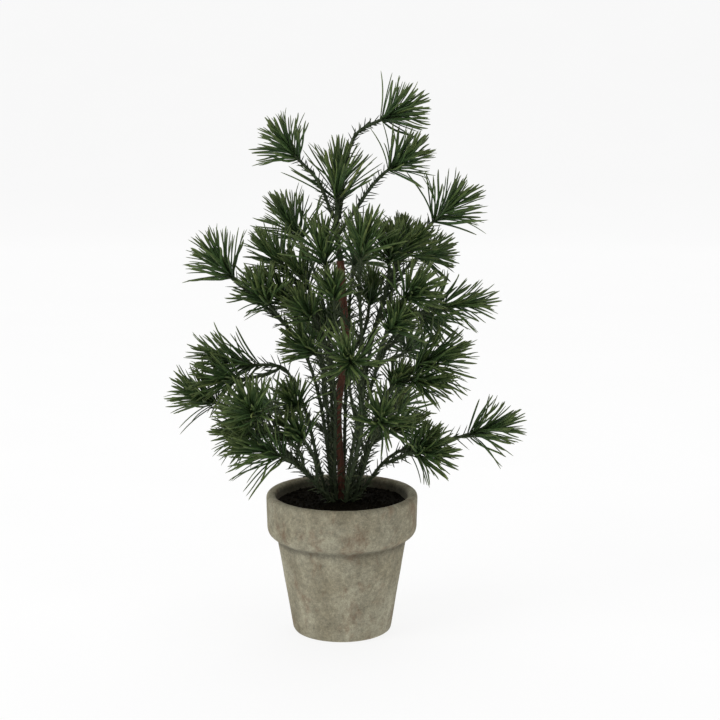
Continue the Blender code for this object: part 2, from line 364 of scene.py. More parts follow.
# %% Cement finish
CEMENT_SHADE = (0.285, 0.257, 0.178)
CEMENT_LIGHT = (0.385, 0.361, 0.266)
RUST = (0.170, 0.090, 0.050)
# how much of the colour's brightness is left where shade is painted in: on the inner wall and in the crease
# under the rim band
INNER_WALL_PAINTED_SHADE = 0.42
CREASE_PAINTED_SHADE = 0.55


def cement_finish():
    """Raw cement from layers of noise, with shade painted in where the mesh marks the inner wall and the
    crease.
    """
    finish, tree, shader = node_material("raw_cement", 0.92)
    shader.inputs["Specular IOR Level"].default_value = 0.25
    drift = pattern(tree, "ShaderNodeTexNoise", 24, 5, Roughness=0.6)
    cloud = pattern(tree, "ShaderNodeTexNoise", 140, 8, Roughness=0.78)
    fleck = pattern(tree, "ShaderNodeTexNoise", 360, 6, Roughness=0.8)
    grain = pattern(tree, "ShaderNodeTexNoise", 1100, 3)
    streak = pattern(tree, "ShaderNodeTexNoise", 90, 4, (1, 1, 0.10))
    pores = pattern(tree, "ShaderNodeTexVoronoi", 200, 3, (1, 1, 0.7))
    crowd = pattern(tree, "ShaderNodeTexNoise", 55, 3)
    rust = pattern(tree, "ShaderNodeTexNoise", 60, 8, (1, 1, 0.6), Roughness=0.7)
    colour = ramp(tree, drift.outputs["Fac"], (0.38, CEMENT_SHADE), (0.62, CEMENT_LIGHT))
    colour = shade(tree, colour, cloud.outputs["Fac"], 0.80, 1.14, 0.36, 0.64)
    colour = shade(tree, colour, fleck.outputs["Fac"], 0.74, 1.17, 0.37, 0.63)
    colour = shade(tree, colour, grain.outputs["Fac"], 0.84, 1.14)
    colour = shade(tree, colour, streak.outputs["Fac"], 0.88, 1.10, 0.35, 0.65)
    stain = ramp(tree, rust.outputs["Fac"], (0.53, 0.0), (0.64, 0.50))
    colour = blend_colour(tree, stain, colour, RUST)
    hole = ramp(tree, pores.outputs["Distance"], (0.10, 0.24), (0.18, 1.0))
    few = ramp(tree, crowd.outputs["Fac"], (0.47, 1.0), (0.56, 0.0))
    hole = blend_colour(tree, few, (1.0, 1.0, 1.0), hole)
    colour = blend_colour(tree, 1.0, colour, hole, "MULTIPLY")
    # painted shade: the inner wall darker below the rim
    colour = shade(tree, colour, stored(tree, "along"), 1.0, INNER_WALL_PAINTED_SHADE, 0.0, 1.0)
    # painted shade: darker in the crease under the rim band
    colour = shade(tree, colour, stored(tree, "tone"), 1.0, CREASE_PAINTED_SHADE, 0.0, 1.0)
    tree.links.new(colour, shader.inputs["Base Color"])
    relief(
        tree, shader, (grain.outputs["Fac"], 0.0003), (fleck.outputs["Fac"], 0.0006),
        (cloud.outputs["Fac"], 0.0008), (hole, 0.0006))
    return finish


CEMENT = cement_finish()
print("finish", CEMENT.name)

# %% [markdown]
# ### Soft plastic greens
# Needles and stems are moulded in soft plastic. The needles are a deep green that differs from
# blade to blade, with olive tips. One material for each tint would be a long list, so two numbers
# are stored on every point instead: how far along its blade it lies, and the blade's own tone.
# The finish reads both.

# %% Foliage finishes


def needle_finish():
    """Deep green plastic with olive tips, in the tone that each blade has."""
    finish, tree, shader = node_material("needle_plastic", 0.55)
    shader.inputs["Specular IOR Level"].default_value = 0.22
    colour = ramp(
        tree, stored(tree, "tone"),
        (0.0, (0.030, 0.062, 0.020)), (0.45, (0.056, 0.109, 0.033)), (0.8, (0.094, 0.154, 0.043)),
        (1.0, (0.155, 0.198, 0.060)))
    tip_share = ramp(tree, stored(tree, "along"), (0.50, 0.0), (0.90, 0.50), (1.0, 0.75))
    colour = blend_colour(tree, tip_share, colour, (0.150, 0.180, 0.060))
    # painted shade: each needle darker towards its base, near the stem, where the tuft is dense
    colour = shade(tree, colour, stored(tree, "along"), 0.62, 1.0, 0.0, 0.4)
    patch = pattern(tree, "ShaderNodeTexNoise", 260, 3)
    colour = shade(tree, colour, patch.outputs["Fac"], 0.7, 1.3)
    tree.links.new(colour, shader.inputs["Base Color"])
    film = pattern(tree, "ShaderNodeTexNoise", 900, 2)
    tree.links.new(ramp(tree, film.outputs["Fac"], (0.3, 0.46), (0.7, 0.66)), shader.inputs["Roughness"])
    relief(tree, shader, (film.outputs["Fac"], 0.00008))
    return finish


def stem_finish():
    """Dark green plastic for stems and scales."""
    finish, tree, shader = node_material("stem_plastic", 0.65)
    shader.inputs["Specular IOR Level"].default_value = 0.2
    colour = ramp(
        tree, stored(tree, "tone"),
        (0.0, (0.033, 0.046, 0.023)), (0.6, (0.057, 0.080, 0.038)), (1.0, (0.105, 0.125, 0.060)))
    patch = pattern(tree, "ShaderNodeTexNoise", 320, 4)
    colour = shade(tree, colour, patch.outputs["Fac"], 0.6, 1.3)
    tree.links.new(colour, shader.inputs["Base Color"])
    tree.links.new(ramp(tree, patch.outputs["Fac"], (0.3, 0.5), (0.7, 0.75)), shader.inputs["Roughness"])
    relief(tree, shader, (patch.outputs["Fac"], 0.0002))
    return finish


NEEDLE = needle_finish()
STEM = stem_finish()
print("finishes", NEEDLE.name, STEM.name)

# %% [markdown]
# ### Bark, soil, tape, wire and foam
# The trunk is a reddish-brown sleeve with darker upright streaks. Soil is a dark mix of grains.
# The tape, wire and foam are hidden inside, but they get a true finish too, because the tree can
# be taken apart.

# %% Finishes of the smaller pieces


def simple_finish(name, roughness, dark, light, scale, depth, metallic=0.0, stretch=(1, 1, 1), shine=0.2):
    """A finish of one noise: two colours, a varied roughness and a relief of the given depth."""
    finish, tree, shader = node_material(name, roughness, metallic)
    coarse = pattern(tree, "ShaderNodeTexNoise", scale, 5, stretch, Roughness=0.6)
    fine = pattern(tree, "ShaderNodeTexNoise", scale * 5, 2, stretch)
    colour = ramp(tree, coarse.outputs["Fac"], (0.32, dark), (0.68, light))
    colour = shade(tree, colour, fine.outputs["Fac"], 0.7, 1.25)
    colour = shade(tree, colour, stored(tree, "tone"), 0.8, 1.2, 0.0, 1.0)
    tree.links.new(colour, shader.inputs["Base Color"])
    shader.inputs["Specular IOR Level"].default_value = shine
    low, high = max(roughness - 0.1, 0), min(roughness + 0.1, 1)
    tree.links.new(ramp(tree, fine.outputs["Fac"], (0.3, low), (0.7, high)), shader.inputs["Roughness"])
    relief(tree, shader, (coarse.outputs["Fac"], depth), (fine.outputs["Fac"], depth / 3))
    return finish


BARK = simple_finish(
    "brown_sleeve", 0.7, (0.080, 0.034, 0.021), (0.200, 0.082, 0.052), 500, 0.0004, stretch=(1, 1, 0.15))
SOIL = simple_finish(
    "peat_soil", 1.0, (0.0030, 0.0024, 0.0014), (0.014, 0.011, 0.006), 500, 0.0006, shine=0.05)
TAPE = simple_finish("floral_tape", 0.8, (0.010, 0.012, 0.008), (0.030, 0.030, 0.018), 300, 0.0003)
WIRE = simple_finish(
    "steel_wire", 0.35, (0.30, 0.30, 0.31), (0.52, 0.52, 0.53), 400, 0.00005, 1.0, (1, 1, 0.1), 0.5)
FOAM = simple_finish("green_foam", 0.95, (0.020, 0.060, 0.025), (0.060, 0.130, 0.060), 700, 0.0005)
print("small finishes ready")

# %% [markdown]
# ## Building meshes from rings
# A stem, a needle and a pot are all rings of points joined by faces. They could be turned and
# bent by modifiers, but thousands of blades are made faster from tables of numbers. One table of
# points and one list of faces grow together, and become a mesh at the end.

# %% A mesh that grows


class Growth:
    """Points and faces of one piece, with two numbers for its finish on every point."""

    def __init__(self):
        self.points, self.faces, self.along, self.tone = [], [], [], []
        self.count = 0

    def add(self, points, faces, along, tone):
        """Add points and faces; along and tone are one number for all the points, or one for each."""
        self.points.append(points)
        self.faces += [tuple(int(v) + self.count for v in face) for face in faces]
        self.along.append(np.broadcast_to(along, len(points)))
        self.tone.append(np.broadcast_to(tone, len(points)))
        self.count += len(points)

    def piece(self, name, finish, smooth=True):
        """Make an object of everything that was added, in one finish."""
        mesh = bpy.data.meshes.new(name)
        mesh.from_pydata(np.concatenate(self.points).tolist(), [], self.faces)
        mesh.materials.append(finish)
        for label, values in (("along", self.along), ("tone", self.tone)):
            store = mesh.attributes.new(label, "FLOAT", "POINT")
            store.data.foreach_set("value", np.concatenate(values).astype(np.float32))
        mesh.validate()
        if smooth:
            mesh.shade_smooth()
        thing = bpy.data.objects.new(name, mesh)
        bpy.context.scene.collection.objects.link(thing)
        return thing


def ring_faces(rings, sides, tip=False):
    """Faces of a tube of rings: walls, a start cap, and an end cap or a single tip point."""
    faces = [tuple(range(sides))[::-1]]
    last = rings - 1
    for r in range(last):
        for s in range(sides):
            a, b = r * sides + s, r * sides + (s + 1) % sides
            faces.append((a, b, b + sides, a + sides))
    end = last * sides
    if tip:
        faces += [(end + s, end + (s + 1) % sides, end + sides) for s in range(sides)]
    else:
        faces.append(tuple(range(end, end + sides)))
    return faces


print("faces of a five-ring blade:", len(ring_faces(5, 4, True)))

# %% [markdown]
# ### Blades
# A needle and a scale are the same thing in two sizes: a flat blade with a low ridge, four points
# round a thin diamond, repeated along its length and closed in a single tip. All the blades of a
# sprig are worked out together, as tables, because that is far quicker than one by one.

# %% Blades: needles and scales
NEEDLE_OUTLINE = (
    (0.0, 0.60), (0.12, 0.82), (0.28, 0.98), (0.45, 1.0),
    (0.62, 1.0), (0.78, 0.92), (0.90, 0.74), (0.97, 0.42))
SCALE_OUTLINE = ((0.0, 0.85), (0.3, 1.0), (0.7, 0.78))
RIDGE_FRONT = 0.75
RIDGE_BACK = 0.25
WAVE_TURN = math.tau * 0.8


def grow_blades(growth, outline, roots, ways, flats, lengths, widths, thick, curls, tones, waves=0.0):
    """Many flat blades at once. A blade's ridge faces along flats; it curls that way and waves."""
    ways = unit(ways)
    flats = unit(flats - ways * np.sum(flats * ways, axis=1, keepdims=True))
    sides = np.cross(ways, flats)
    shares = np.array([share for share, _ in outline])
    girths = np.array([girth for _, girth in outline])
    count, steps = len(roots), len(outline)
    spine = roots[:, None] + ways[:, None] * (lengths[:, None] * shares)[..., None]
    spine = spine + flats[:, None] * (curls[:, None] * lengths[:, None] * shares**2)[..., None]
    depth = np.broadcast_to(waves, count) * lengths
    sway = depth[:, None] * np.sin(shares * WAVE_TURN)
    spine = spine + sides[:, None] * sway[..., None]
    half = sides[:, None] * (widths[:, None] * girths / 2)[..., None]
    ridge = flats[:, None] * (thick * girths)[None, :, None]
    front, back = spine + ridge * RIDGE_FRONT, spine - ridge * RIDGE_BACK
    rings = np.stack([spine + half, front, spine - half, back], axis=2)
    last_sway = depth * math.sin(WAVE_TURN)
    tips = roots + ways * lengths[:, None] + flats * (curls * lengths)[:, None] + sides * last_sway[:, None]
    points = np.concatenate([rings.reshape(count, steps * 4, 3), tips[:, None]], axis=1)
    blade_faces = ring_faces(steps, 4, True)
    size = steps * 4 + 1
    faces = [tuple(v + blade * size for v in face) for blade in range(count) for face in blade_faces]
    along = np.tile(np.append(np.repeat(shares, 4), 1.0), count)
    growth.add(points.reshape(-1, 3), faces, along, np.repeat(tones, size))


print("needle outline steps", len(NEEDLE_OUTLINE))

# %% [markdown]
# ## The line of every sprig
# The model's sprig is a tube of rings. Starting from its flat end, the rings are found one after
# the other by walking along the mesh's edges. Their centres are the stem's real line, and the
# place where they start to swell is where the needles begin. The measures could be typed in
# again, but then they would be wrong after the next change of the model.

# %% Read the rings of a tube
# points nearer than this are one corner, and points this near to the end's plane lie on it, in metres
SAME_PLACE = 1e-6
FLAT_LIMIT = 2e-5


def tube_rings(node):
    """Ring centres and radii of a tube, from its thin foot to its heavy end."""
    mesh = frame["nodes"][node].data
    raw = np.array([v.co for v in mesh.vertices])
    found = {}
    weld = [found.setdefault(tuple(np.round(p / SAME_PLACE).astype(int)), len(found)) for p in raw]
    points = np.zeros((len(found), 3))
    points[weld] = raw
    near = [set() for _ in points]
    for edge in mesh.edges:
        a, b = (weld[v] for v in edge.vertices)
        near[a].add(b)
        near[b].add(a)
    middle_point = points.mean(0)
    foot = int(np.argmax(np.linalg.norm(points - middle_point, axis=1)))
    outward = unit(points[foot] - middle_point)
    caps = [face.normal for face in mesh.polygons if foot in {weld[v] for v in face.vertices}]
    flat = np.array(max(caps, key=lambda normal: float(np.dot(normal, outward))))
    ring = set(np.flatnonzero(np.abs((points - points[foot]) @ flat) < FLAT_LIMIT).tolist())
    seen, rings = set(), []
    while ring:
        seen |= ring
        rings.append(sorted(ring))
        ring = {b for a in ring for b in near[a]} - seen
    centres = np.array([points[r].mean(0) for r in rings])
    radii = np.array([np.linalg.norm(points[r] - c, axis=1).mean() for r, c in zip(rings, centres)])
    if radii[: len(radii) // 2].sum() > radii[len(radii) // 2 :].sum():
        return centres[::-1], radii[::-1]
    return centres, radii


print("rings of the leader", len(tube_rings("leader_sprig")[0]))

# %% [markdown]
# ### All the sprigs and the trunk
# Every sprig is read once and kept by its name. The steel core gives the trunk's line, which is
# needed again for the sleeve, and to keep scales from poking through it.

# %% Rings of the sprigs and the trunk


def trunk_axis():
    """The centres of the trunk's steel core, from low to high."""
    centres, _ = tube_rings("trunk_wire")
    return centres[np.argsort(centres[:, 2])]


TRUNK_AXIS = trunk_axis()
TRUNK_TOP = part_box("trunk_sleeve")[1].z
sprig_nodes = sorted(name for name in frame["nodes"] if "_sprig" in name)
sprig_rings = {name: tube_rings(name) for name in sprig_nodes}
print("sprigs", len(sprig_rings), "rings of each", sorted({len(c) for c, _ in sprig_rings.values()}))

# %% [markdown]
# ### Smooth lines
# Real wire bends softly, so a curve is laid through the ring centres instead of straight pieces.
# It passes through every centre, which keeps the dressed stem exactly on its solid. Walking along
# it by distance gives each scale and needle its place and the direction that the stem has there.

# %% A smooth line that can be walked
LINE_STEPS = 12
HALF_PACE = 0.7 * MM


def smooth_line(centres):
    """A dense smooth curve through the centres, with the distance walked to each of its points."""
    ends = (2 * centres[0] - centres[1], 2 * centres[-1] - centres[-2])
    knots = np.vstack([ends[0], centres, ends[1]])
    t = np.linspace(0, 1, LINE_STEPS, endpoint=False)[:, None]
    parts = [
        0.5 * (2 * b + (c - a) * t + (2 * a - 5 * b + 4 * c - d) * t**2 + (3 * b - a - 3 * c + d) * t**3)
        for a, b, c, d in zip(knots, knots[1:], knots[2:], knots[3:])
    ]
    points = np.vstack([*parts, centres[-1:]])
    walked = np.append(0, np.cumsum(np.linalg.norm(np.diff(points, axis=0), axis=1)))
    return points, walked


def at(line, distances):
    """The places at these distances along a line."""
    points, walked = line
    return np.stack([np.interp(distances, walked, axis) for axis in points.T], axis=1)


def walk(line, distances):
    """The places at these distances, the ways the line runs there, and two directions across it."""
    distances = np.asarray(distances, float)
    ahead = np.clip(distances + HALF_PACE, 0, line[1][-1])
    behind = np.clip(distances - HALF_PACE, 0, line[1][-1])
    ways = unit(at(line, ahead) - at(line, behind))
    across = unit(line[0][-1] - line[0][0])
    guide = np.eye(3)[int(np.argmin(np.abs(across)))]
    sides = unit(np.cross(ways, guide))
    return at(line, distances), ways, sides, np.cross(sides, ways)


test_line = smooth_line(sprig_rings["leader_sprig"][0])
print("leader line in mm", round(test_line[1][-1] / MM, 1))

# %% [markdown]
# ## Stems
# A moulded stem tapers gently and carries short, pointed scales in a spiral, the leftovers of
# shed needles. A stem could be a curve with a bevel, but its girth would then be perfectly even.
# Rings of points let every side stand out a little more or less, as in a worn mould.

# %% Tubes along a line
STEM_SIDES = 8
STEM_PACE = 2.5 * MM
STEM_ROUGHNESS = 0.10
STEM_TONE = 0.3


def ring_points(line, distances, radii):
    """Rings of points round a line; radii has one row for each ring and one column for each side."""
    places, _, first, second = walk(line, distances)
    turns = np.arange(radii.shape[1]) * math.tau / radii.shape[1]
    spokes = first[:, None] * np.cos(turns)[None, :, None] + second[:, None] * np.sin(turns)[None, :, None]
    points = places[:, None] + spokes * radii[..., None]
    return points.reshape(-1, 3)


def grow_tube(growth, line, profile, rng):
    """A closed tube whose radius runs through the (distance, radius) pairs of its profile."""
    marks, girths = zip(*profile)
    count = max(3, int(math.ceil((marks[-1] - marks[0]) / STEM_PACE)) + 1)
    distances = np.linspace(marks[0], marks[-1], count)
    uneven = 1 + STEM_ROUGHNESS * rng.uniform(-1, 1, (count, STEM_SIDES))
    radii = np.interp(distances, marks, girths)[:, None] * uneven
    growth.add(ring_points(line, distances, radii), ring_faces(count, STEM_SIDES), 0.0, STEM_TONE)


print("tube sides", STEM_SIDES)

# %% [markdown]
# ### Scales
# Buds on a living shoot sit a golden turn apart, so that none shades the next, and a moulded
# shoot copies that. A pattern repeated round the stem would be simpler, but it shows as rows. The
# scales are shorter and closer on the top sprigs. Where a scale would poke through the trunk it
# is left out, as it would be pressed flat there.

# %% Scales in a spiral
GOLDEN_TURN = math.pi * (3 - math.sqrt(5))
SCALE_PACE = {"leader": 0.9 * MM, "crown": 1.15 * MM, "other": 1.45 * MM}
SCALE_SIZES = {
    "leader": (7.5 * MM, 9.0 * MM),
    "crown": (11.0 * MM, 6.0 * MM),
    "other": (7.5 * MM, 12.5 * MM),
}
SCALE_WIDTH = 1.5 * MM
SCALE_THICK = 0.8 * MM
SCALE_TILT = math.radians(44)
SCALE_TILT_SPREAD = 0.16
SCALE_WOBBLE = 0.35
SCALE_SHIFT = 0.4 * MM
SCALE_LENGTHS = (0.7, 1.25)
SCALE_WIDTHS = (0.85, 1.15)
SCALE_CURLS = (-0.05, 0.20)
SCALE_TONES = (0.1, 1.0)
TRUNK_ROOM = 4.5 * MM


def spiral(count, rng, wobble):
    """Directions round a stem, a golden turn apart, with a little disorder."""
    return np.arange(count) * GOLDEN_TURN + rng.uniform(0, math.tau) + rng.normal(0, wobble, count)


def clear_of_trunk(places):
    """Which places lie far enough from the trunk for a scale's tip to be there."""
    axis = np.stack([np.interp(places[:, 2], TRUNK_AXIS[:, 2], way) for way in TRUNK_AXIS.T[:2]], axis=1)
    return (np.linalg.norm(places[:, :2] - axis, axis=1) > TRUNK_ROOM) | (places[:, 2] > TRUNK_TOP)


def grow_scales(growth, line, start, end, radius, rng, name):
    """Pointed scales from one distance to another; their sizes change evenly along the stem."""
    kind = name.split("_")[0] if name.split("_")[0] in SCALE_SIZES else "other"
    sizes = SCALE_SIZES[kind]
    count = max(2, int((end - start) / SCALE_PACE[kind]))
    distances = np.linspace(start, end, count) + rng.normal(0, SCALE_SHIFT, count)
    places, ways, first, second = walk(line, distances)
    turns = spiral(count, rng, SCALE_WOBBLE)[:, None]
    out = first * np.cos(turns) + second * np.sin(turns)
    tilt = (SCALE_TILT + rng.normal(0, SCALE_TILT_SPREAD, count))[:, None]
    heading = ways * np.cos(tilt) + out * np.sin(tilt)
    roots = places + out * radius * 0.5
    lengths = np.linspace(*sizes, count) * rng.uniform(*SCALE_LENGTHS, count)
    widths = SCALE_WIDTH * rng.uniform(*SCALE_WIDTHS, count)
    curls = rng.uniform(*SCALE_CURLS, count)
    tones = rng.uniform(*SCALE_TONES, count)
    kept = clear_of_trunk(roots + heading * lengths[:, None])
    measures = [values[kept] for values in (roots, heading, out, lengths, widths, curls, tones)]
    roots, heading, out, lengths, widths, curls, tones = measures
    grow_blades(growth, SCALE_OUTLINE, roots, heading, out, lengths, widths, SCALE_THICK, curls, tones)


print("scale pace in mm", round(SCALE_PACE["other"] / MM, 2))

# %% [markdown]
# ## Tufts
# The end of every sprig carries a fan of flat needles. The first ones stand far out to the side,
# the last ones point nearly straight on, and together they form a brush as long as the swelling
# of the model's sprig. One needle could be copied many times by instances, but then all of them
# would bend alike. Here each has its own length, curl, wave and tone.

# %% Needles of one tuft
NEEDLE_COUNT = 74
NEEDLE_WIDTH = 2.0 * MM
NEEDLE_THICK = 0.9 * MM
FIRST_ANGLE = math.radians(55)
LAST_ANGLE = math.radians(5)
LEAST_ANGLE = 0.03
MOST_ANGLE = math.radians(60)
ANGLE_SPREAD = 0.13
NEEDLE_WOBBLE = 0.5
# a needle's length as a share of the tuft's reach: at the first needle, and how much the last one loses
FIRST_LENGTH = 0.98
LENGTH_LOSS = 0.22
NEEDLE_LENGTHS = (0.84, 1.05)
NEEDLE_WIDTHS = (0.80, 1.12)
NEEDLE_CURL = (0.13, 0.13)
NEEDLE_WAVE = (0, 0.035)
NEEDLE_TONES = (2.0, 3.2)
TONE_GAIN = 1.1
FLAT_LEAN = (0.4, 1.0)
FLAT_TWIST = (0, 0.5)
NEEDLE_SEAT = 0.5 * MM
# where the needles start, how much of the tuft bears them and how long they are, as shares of it
PLAIN_HABIT = (-0.06, 0.36, 0.96)
HABITS = {
    "middle_right_main_sprig": (-0.18, 0.62, 0.74),
    "low_right_main_sprig": (-0.04, 0.48, 0.84),
    "middle_left_main_sprig": (-0.40, 0.70, 0.92),
    "leader_sprig": (-0.10, 0.34, 1.02),
}


def grow_needles(growth, line, base, tip, rng, name):
    """The needles between the base of a tuft and its tip, both as distances along the line."""
    length = tip - base
    start, bearing, reach = (length * share for share in HABITS.get(name, PLAIN_HABIT))
    share = (np.arange(NEEDLE_COUNT) + 0.5) / NEEDLE_COUNT
    places, ways, first, second = walk(line, base + start + bearing * share)
    turns = spiral(NEEDLE_COUNT, rng, NEEDLE_WOBBLE)[:, None]
    out = first * np.cos(turns) + second * np.sin(turns)
    angle = FIRST_ANGLE + (LAST_ANGLE - FIRST_ANGLE) * share + rng.normal(0, ANGLE_SPREAD, NEEDLE_COUNT)
    angle = np.clip(angle, LEAST_ANGLE, MOST_ANGLE)[:, None]
    heading = ways * np.cos(angle) + out * np.sin(angle)
    lengths = reach * (FIRST_LENGTH - LENGTH_LOSS * share) * rng.uniform(*NEEDLE_LENGTHS, NEEDLE_COUNT)
    widths = NEEDLE_WIDTH * rng.uniform(*NEEDLE_WIDTHS, NEEDLE_COUNT)
    curls = rng.normal(*NEEDLE_CURL, NEEDLE_COUNT)
    tones = np.clip(rng.beta(*NEEDLE_TONES, NEEDLE_COUNT) * TONE_GAIN, 0, 1)
    flats = out * rng.uniform(*FLAT_LEAN, (NEEDLE_COUNT, 1))
    flats = flats + np.cross(ways, out) * rng.normal(*FLAT_TWIST, (NEEDLE_COUNT, 1))
    waves = rng.normal(*NEEDLE_WAVE, NEEDLE_COUNT)
    roots = places + out * NEEDLE_SEAT
    grow_blades(
        growth, NEEDLE_OUTLINE, roots, heading, flats, lengths, widths, NEEDLE_THICK, curls, tones, waves)
    return base + start + bearing


print("needles in a tuft", NEEDLE_COUNT)

# %% [markdown]
# ## Where a sprig begins
# A main stem is pushed into the soil, or grows out of the leader if it is one of the crown, and a
# side stem grows out of its main stem. The model's solids end where they meet what carries them,
# so the line of each stem is led on a little, and no gap or joint shows.

# %% The full line of a sprig
SOIL_ROOT = 4.0 * MM
MAIN_ENDING = "_main_sprig"
SIDE_ENDING = "_side_sprig"
TUFT_SWELL = 1.25


def branch_of(name):
    """The branch that a sprig belongs to."""
    return name.split(MAIN_ENDING)[0].split(SIDE_ENDING)[0]


def body_name(name):
    """The body that carries a sprig: its branch's own, or the root."""
    body = branch_of(name) + "_branch"
    return body if body in frame["bodies"] else "root"


def tuft_start(radii):
    """The ring where the tuft begins: the last one before the radius grows."""
    for i in range(len(radii) - 1):
        if radii[i + 1] > radii[0] * TUFT_SWELL:
            return i
    return len(radii) - 1


def full_line(name):
    """The smooth line of a sprig, led back into the soil or into the stem that carries it."""
    centres, radii = sprig_rings[name]
    base = tuft_start(radii)
    if SIDE_ENDING in name:
        carrier = smooth_line(sprig_rings[branch_of(name) + MAIN_ENDING][0])[0]
        root = carrier[np.argmin(np.linalg.norm(carrier - centres[0], axis=1))]
    else:
        root = centres[0] - unit(centres[1] - centres[0]) * SOIL_ROOT
    line = smooth_line(np.vstack([root, centres]))
    tuft_base = line[1][np.argmin(np.linalg.norm(line[0] - centres[base], axis=1))]
    return line, tuft_base, radii[0]


print("leader's tuft begins at mm", round(full_line("leader_sprig")[1] / MM, 1))

# %% [markdown]
# ## Dressing every sprig
# Each sprig of the model is replaced by two pieces: its stem and its needles. On the real tree
# both come from one mould, but apart they are easier to finish. Both ride on the body that the
# sprig belongs to, so they bend with the branch.

# %% Dress the sprigs
# a stem's girth at its foot, where its tuft begins and at its end, as shares of the solid's radius
STEM_TAPER = (1.08, 0.95, 0.35)
STEM_PAST_NEEDLES = 1.0 * MM
FIRST_SCALE = 3.0 * MM

for name in sprig_nodes:
    rng = dice(name)
    line, base, radius = full_line(name)
    needles = Growth()
    end = grow_needles(needles, line, base, line[1][-1], rng, name)
    stem = Growth()
    profile = list(zip((0, base, end + STEM_PAST_NEEDLES), (radius * share for share in STEM_TAPER)))
    grow_tube(stem, line, profile, rng)
    grow_scales(stem, line, FIRST_SCALE, base, radius, rng, name)
    for growth, kind, finish in ((stem, "stem", STEM), (needles, "needles", NEEDLE)):
        piece = growth.piece(f"{name}_{kind}", finish)
        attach(piece, body_name(name))
        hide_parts(name)
print("needles in all", NEEDLE_COUNT * len(sprig_nodes))

# %% [markdown]
# ## Trunk
# The trunk is a steel core in a brown paper sleeve, wound on as a narrow tape. Each turn laps over
# the last one, so the surface rises in fine slanting steps. A picture of bark would look flat from
# the side, so the steps are part of the shape.

# %% Wind the trunk
WIND_PITCH = 7.0 * MM
WIND_STEP = 0.22 * MM
TRUNK_PACE = 0.9 * MM
TRUNK_SIDES = 18
TRUNK_TONE = 0.5
CRUMPLE = 0.05 * MM
FOOT_REACH = 1.0 * MM


def build_trunk():
    """The wound sleeve, along the steel core; gives back its largest radius."""
    line = smooth_line(TRUNK_AXIS)
    low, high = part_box("trunk_sleeve")
    start, end = np.interp((low.z, high.z), line[0][:, 2], line[1])
    sleeve = np.array([v.co for v in frame["nodes"]["trunk_sleeve"].data.vertices])
    foot = sleeve[np.abs(sleeve[:, 2] - low.z) < FOOT_REACH][:, :2]
    radius = np.linalg.norm(foot - at(line, [start])[0, :2], axis=1).max()
    count = int((end - start) / TRUNK_PACE)
    distances = np.linspace(start, end, count)
    turns = np.arange(TRUNK_SIDES) * math.tau / TRUNK_SIDES
    phase = (distances[:, None] / WIND_PITCH + turns[None, :] / math.tau) % 1
    radii = radius - WIND_STEP * phase + dice("trunk").normal(0, CRUMPLE, phase.shape)
    growth = Growth()
    growth.add(ring_points(line, distances, radii), ring_faces(count, TRUNK_SIDES), 0.0, TRUNK_TONE)
    trunk = growth.piece("trunk_wrap", BARK)
    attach(trunk, "root")
    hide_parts("trunk_sleeve")
    return radius


print("trunk radius in mm", round(build_trunk() / MM, 2))

# %% [markdown]
# ## Pot
# A cast pot is round to the eye but never quite smooth. Its section could be drawn anew, but the
# model already has it: it is read from the mesh, divided into short steps and worn soft at its
# corners, as raw cement is.

# %% Read the pot's section
SECTION_PACE = 1.15 * MM
SOFTENING = 1
SAME_ANGLE = 0.001


def read_section(node):
    """The section of a turned node as (radius, height) points, along its outside and in again."""
    mesh = frame["nodes"][node].data
    raw = np.array([v.co for v in mesh.vertices])
    radii = np.hypot(raw[:, 0], raw[:, 1])
    angles = np.arctan2(raw[:, 1], raw[:, 0])
    keys = [(round(r / MM, 2), round(z / MM, 2)) for r, z in zip(radii, raw[:, 2])]
    near = {}
    for edge in mesh.edges:
        a, b = edge.vertices
        if keys[a] != keys[b] and abs(angles[a] - angles[b]) < SAME_ANGLE:
            near.setdefault(keys[a], set()).add(keys[b])
            near.setdefault(keys[b], set()).add(keys[a])
    here = min((key for key in near if len(near[key]) == 1), key=lambda key: key[1])
    section = [here]
    while True:
        onward = near[here] - set(section)
        if not onward:
            break
        here = onward.pop()
        section.append(here)
    return np.array(section) * MM


def even_steps(section, pace, softening):
    """The same outline in even short steps, with its corners worn round."""
    walked = np.append(0, np.cumsum(np.linalg.norm(np.diff(section, axis=0), axis=1)))
    marks = np.linspace(0, walked[-1], int(walked[-1] / pace))
    points = np.stack([np.interp(marks, walked, axis) for axis in section.T], axis=1)
    for _ in range(softening):
        points[1:-1] = (points[:-2] + 2 * points[1:-1] + points[2:]) / 4
    return points


pot_section = even_steps(read_section("pot"), SECTION_PACE, SOFTENING)
print("pot section points", len(pot_section), "widest in mm", round(pot_section[:, 0].max() / MM, 1))

# %% [markdown]
# ### Weathering
# A little noise makes the wall uneven and pits it, as air bubbles do in real cement. A relief in
# the finish alone would leave the outline perfectly smooth, so the larger marks move the points
# themselves. Shade is painted into the crease under the rim band, so its height is looked up as well.

# %% Weathering and the crease
# how many waves there are in a metre, and how high they are
SWELLS = ((14, 0.22 * MM), (55, 0.12 * MM), (210, 0.07 * MM))
PIT_SIZE = 1 / 230
PIT_REACH = 0.34
PIT_DEPTH = 0.55 * MM
PIT_CROWDS = 45
CROWD_SHIFT = Vector((7, 3, 1))
CROWD_LIMIT = 0.08
NECK_SLOPE = 0.5
# the crease is looked for between these shares of the pot's height
NECK_SEARCH = (0.4, 0.9)


def weather(place):
    """How far a point of the cement stands proud, or sinks into a pit."""
    height = sum(noise.noise(place * pace) * depth for pace, depth in SWELLS)
    gap = noise.voronoi(place / PIT_SIZE)[0][0]
    crowd = noise.noise(place * PIT_CROWDS + CROWD_SHIFT)
    if gap < PIT_REACH and crowd > CROWD_LIMIT:
        height -= PIT_DEPTH * (1 - gap / PIT_REACH)
    return height


